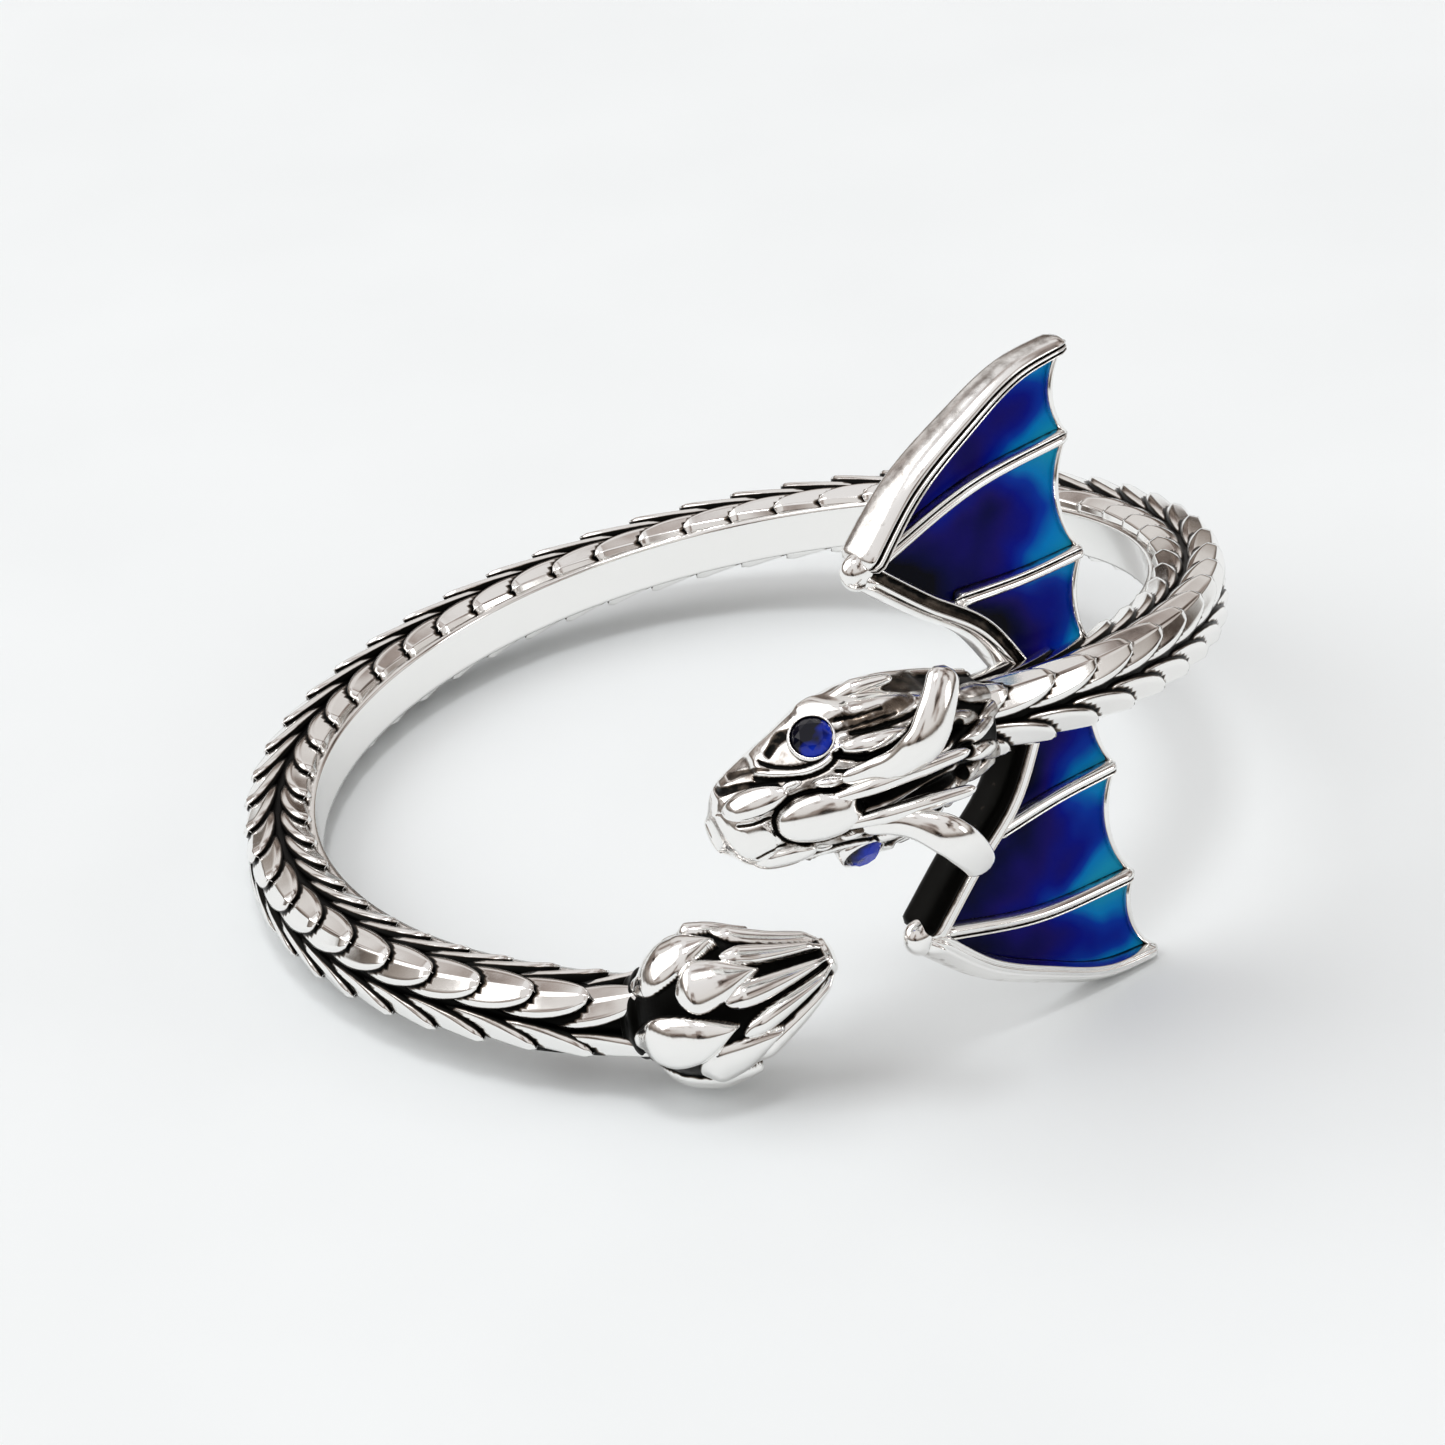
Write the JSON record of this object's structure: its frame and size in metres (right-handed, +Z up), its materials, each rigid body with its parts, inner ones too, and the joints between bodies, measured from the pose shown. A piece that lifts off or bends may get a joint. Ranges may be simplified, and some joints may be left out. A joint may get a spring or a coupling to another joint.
{
  "type": "dragon ring",
  "caption": "Open cast silver finger ring shaped as a scaled dragon, with a tail bud, a horned head with blue stone eyes, and wings filled with blue enamel; it lies on its side.",
  "frame": {"origin": "centre of the bounding box at the table, under the ring as it lies at rest", "axes": "+Z up from the table, close to the finger's axis; +Y away from the head and the tail bud, towards the back of the band; +X to the right, behind the wings as the dragon faces left"},
  "size_m": [0.021, 0.0228, 0.0131],
  "materials": {
    "silver": "polished cast sterling silver with oxidised recesses",
    "enamel": "glossy translucent vitreous enamel, violet through deep blue to teal",
    "stone": "faceted dark blue stone"
  },
  "bodies": {
    "root": {"ring_casting": "silver", "upper_wing_enamel_1": "enamel", "upper_wing_enamel_2": "enamel", "upper_wing_enamel_3": "enamel", "lower_wing_enamel_1": "enamel", "lower_wing_enamel_2": "enamel", "lower_wing_enamel_3": "enamel", "upper_eye_stone": "stone", "lower_eye_stone": "stone"}
  },
  "joints": []
}
